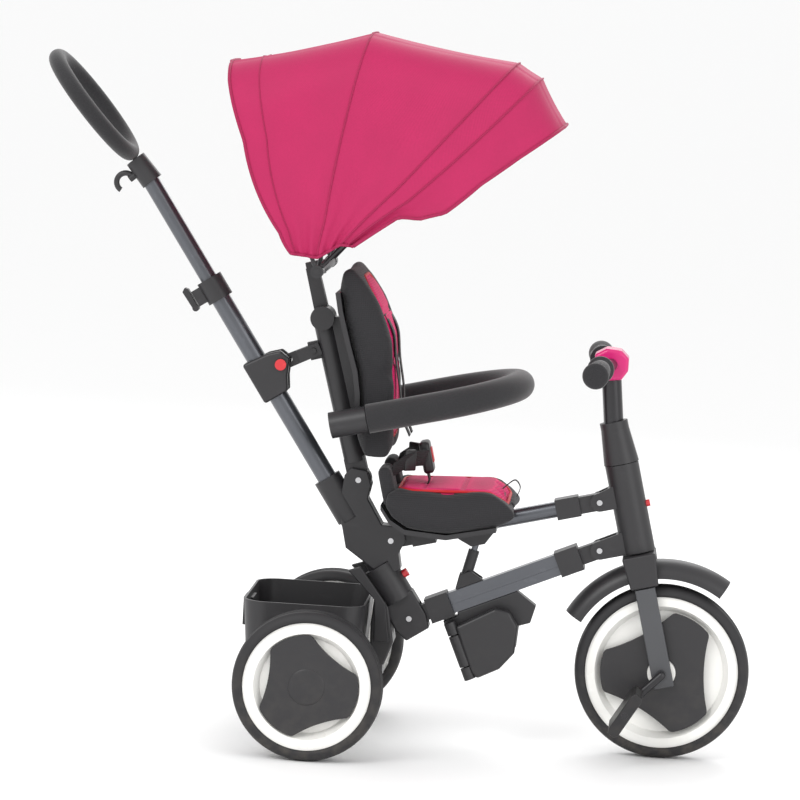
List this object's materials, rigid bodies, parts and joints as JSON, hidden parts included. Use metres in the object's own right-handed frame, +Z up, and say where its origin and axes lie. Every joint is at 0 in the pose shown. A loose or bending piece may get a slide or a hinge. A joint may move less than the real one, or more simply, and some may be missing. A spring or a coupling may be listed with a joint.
{
  "type": "children's tricycle",
  "caption": "Folding tricycle with a telescoping push handle, reclining padded seat, canopy, safety ring, storage basket, folding foot plates and a pedalled front wheel.",
  "frame": {"origin": "middle of the overall box, at ground level", "axes": "+X is the direction of travel, +Y the child's left, +Z up"},
  "size_m": [1.0422, 0.459, 1.0019],
  "materials": {
    "dark_plastic": "matte",
    "tube_metal": "satin metallic",
    "bright_metal": "satin",
    "grip_foam": "matte",
    "bar_paint": "satin",
    "tyre": "matte",
    "rim_white": "satin",
    "button_red": "gloss",
    "cover_magenta": "satin",
    "canopy_magenta": "woven",
    "seat_fabric": "woven",
    "webbing": "woven"
  },
  "bodies": {
    "rear_frame": {"rear_spine": "dark_plastic", "seat_bracket": "dark_plastic", "axle_housing": "dark_plastic", "rear_axle_rod": "bright_metal", "basket": "dark_plastic", "lower_pole": "tube_metal", "pole_clamp": "dark_plastic", "stay_casing": "dark_plastic", "frame_pivot_bolts": "bright_metal"},
    "fold_button": {"fold_release_button": "button_red"},
    "stay_catch": {"stay_button": "button_red"},
    "clamp_handle": {"clamp_lever": "dark_plastic"},
    "push_handle": {"upper_pole": "tube_metal", "handle_neck": "dark_plastic", "handle_grip": "grip_foam"},
    "rear_wheel_right": {"rear_tyre_right": "tyre", "rear_rim_right": "rim_white", "rear_cover_right": "dark_plastic"},
    "rear_wheel_left": {"rear_tyre_left": "tyre", "rear_rim_left": "rim_white", "rear_cover_left": "dark_plastic"},
    "backrest": {"backrest_frame": "dark_plastic", "backrest_pad": "seat_fabric", "backrest_stay": "dark_plastic", "safety_bar_sockets": "dark_plastic", "canopy_bracket": "dark_plastic", "canopy_cloth": "canopy_magenta"},
    "safety_ring": {"safety_bar": "grip_foam"},
    "canopy_middle": {"canopy_middle_bow": "bright_metal"},
    "canopy_front": {"canopy_front_bow": "bright_metal"},
    "upper_link": {"upper_tube": "tube_metal", "upper_tube_ends": "dark_plastic", "seat_pan": "dark_plastic", "seat_cushion": "seat_fabric", "seat_harness": "webbing"},
    "lower_link": {"lower_tube": "tube_metal", "lower_tube_ends": "dark_plastic", "lower_tube_brackets": "dark_plastic"},
    "strut_body": {"strut_barrel": "dark_plastic"},
    "strut_slider": {"strut_rod": "bright_metal"},
    "footrest_right": {"foot_plate_right": "dark_plastic"},
    "footrest_left": {"foot_plate_left": "dark_plastic"},
    "head": {"head_tube": "dark_plastic", "steering_bushes": "dark_plastic", "head_bolts": "bright_metal"},
    "lock_catch": {"steering_lock_button": "button_red"},
    "steering": {"fork_legs": "tube_metal", "fork_crown": "dark_plastic", "mudguard": "dark_plastic", "steerer_and_stem": "tube_metal", "stem_sleeve": "dark_plastic", "handlebar": "bar_paint", "handlebar_grips": "grip_foam", "handlebar_cover": "cover_magenta"},
    "front_wheel": {"front_tyre": "tyre", "front_rim": "rim_white", "front_wheel_covers": "dark_plastic", "crank_axle": "bright_metal"},
    "pedal_unit_right": {"pedal_right": "dark_plastic"},
    "pedal_unit_left": {"pedal_left": "dark_plastic"}
  },
  "joints": [
    {"name": "frame_fold", "type": "hinge", "parent": "rear_frame", "child": "lower_link", "pos_m": [0.0406, 0, 0.177], "axis": [0, -1, 0], "range_deg": [0, 10]},
    {"name": "upper_link_follow", "type": "hinge", "parent": "rear_frame", "child": "upper_link", "pos_m": [0.0086, 0, 0.287], "axis": [0, -1, 0], "range_deg": [0, 9.04]},
    {"name": "head_follow", "type": "hinge", "parent": "lower_link", "child": "head", "pos_m": [0.30557, 0, 0.29199], "axis": [0, -1, 0], "range_deg": [-17.89, 0]},
    {"name": "strut_tilt", "type": "hinge", "parent": "lower_link", "child": "strut_body", "pos_m": [0.11804, 0, 0.24222], "axis": [0, -1, 0], "range_deg": [-17.33, 0]},
    {"name": "strut_extend", "type": "slide", "parent": "strut_body", "child": "strut_slider", "axis": [0.2393, 0, 0.9709], "range_m": [0, 0.00923]},
    {"name": "steering_turn", "type": "hinge", "parent": "head", "child": "steering", "pos_m": [0.4036, 0, 0.124], "axis": [-0.247, 0, 0.969], "range_deg": [-40, 40]},
    {"name": "front_wheel_spin", "type": "hinge", "parent": "steering", "child": "front_wheel", "pos_m": [0.4036, 0, 0.124], "axis": [0, 1, 0], "continuous": true},
    {"name": "pedal_spin_right", "type": "hinge", "parent": "front_wheel", "child": "pedal_unit_right", "pos_m": [0.35622, -0.085, 0.07662], "axis": [0, 1, 0], "continuous": true},
    {"name": "pedal_spin_left", "type": "hinge", "parent": "front_wheel", "child": "pedal_unit_left", "pos_m": [0.45098, 0.085, 0.17138], "axis": [0, 1, 0], "continuous": true},
    {"name": "rear_wheel_spin_right", "type": "hinge", "parent": "rear_frame", "child": "rear_wheel_right", "pos_m": [-0.0834, -0.2075, 0.105], "axis": [0, 1, 0], "continuous": true},
    {"name": "rear_wheel_spin_left", "type": "hinge", "parent": "rear_frame", "child": "rear_wheel_left", "pos_m": [-0.0834, 0.2075, 0.105], "axis": [0, 1, 0], "continuous": true},
    {"name": "handle_height", "type": "slide", "parent": "rear_frame", "child": "push_handle", "axis": [-0.557, 0, 0.8305], "range_m": [-0.13, 0]},
    {"name": "clamp_open", "type": "hinge", "parent": "rear_frame", "child": "clamp_handle", "pos_m": [-0.28813, 0, 0.60071], "axis": [0, -1, 0], "range_deg": [0, 70]},
    {"name": "backrest_recline", "type": "hinge", "parent": "rear_frame", "child": "backrest", "pos_m": [-0.0424, 0, 0.371], "axis": [0, -1, 0], "range_deg": [0, 3]},
    {"name": "stay_button_press", "type": "slide", "parent": "rear_frame", "child": "stay_catch", "axis": [0, 1, 0], "range_m": [0, 0.002], "stiffness_N_per_m": 400},
    {"name": "fold_button_press", "type": "slide", "parent": "rear_frame", "child": "fold_button", "axis": [-0.8305, 0, -0.557], "range_m": [0, 0.004], "stiffness_N_per_m": 400},
    {"name": "lock_button_press", "type": "slide", "parent": "head", "child": "lock_catch", "axis": [-0.969, 0, -0.247], "range_m": [0, 0.003], "stiffness_N_per_m": 400},
    {"name": "safety_bar_pull", "type": "slide", "parent": "backrest", "child": "safety_ring", "axis": [0.9715, 0, 0.2368], "range_m": [0, 0.03]},
    {"name": "canopy_fold", "type": "hinge", "parent": "backrest", "child": "canopy_front", "pos_m": [-0.10859, 0, 0.67126], "axis": [0, -1, 0], "range_deg": [0, 45], "deforming": ["canopy_cloth"]},
    {"name": "canopy_middle_follow", "type": "hinge", "parent": "backrest", "child": "canopy_middle", "pos_m": [-0.10859, 0, 0.67126], "axis": [0, -1, 0], "range_deg": [0, 23]},
    {"name": "footrest_swing_right", "type": "hinge", "parent": "lower_link", "child": "footrest_right", "pos_m": [0.0985, -0.03, 0.17923], "axis": [0.3981, 0, -0.9173], "range_deg": [0, 90]},
    {"name": "footrest_swing_left", "type": "hinge", "parent": "lower_link", "child": "footrest_left", "pos_m": [0.0985, 0.03, 0.17923], "axis": [-0.3981, 0, 0.9173], "range_deg": [0, 90]}
  ],
  "couplings": [
    {"joint": "upper_link_follow", "follows": "frame_fold", "ratio": 0.88444},
    {"joint": "head_follow", "follows": "frame_fold", "ratio": -1.7685},
    {"joint": "strut_tilt", "follows": "frame_fold", "ratio": -1.7131},
    {"joint": "strut_extend", "follows": "frame_fold", "m_per_rad": 0.051159},
    {"joint": "canopy_middle_follow", "follows": "canopy_fold", "ratio": 0.5}
  ]
}
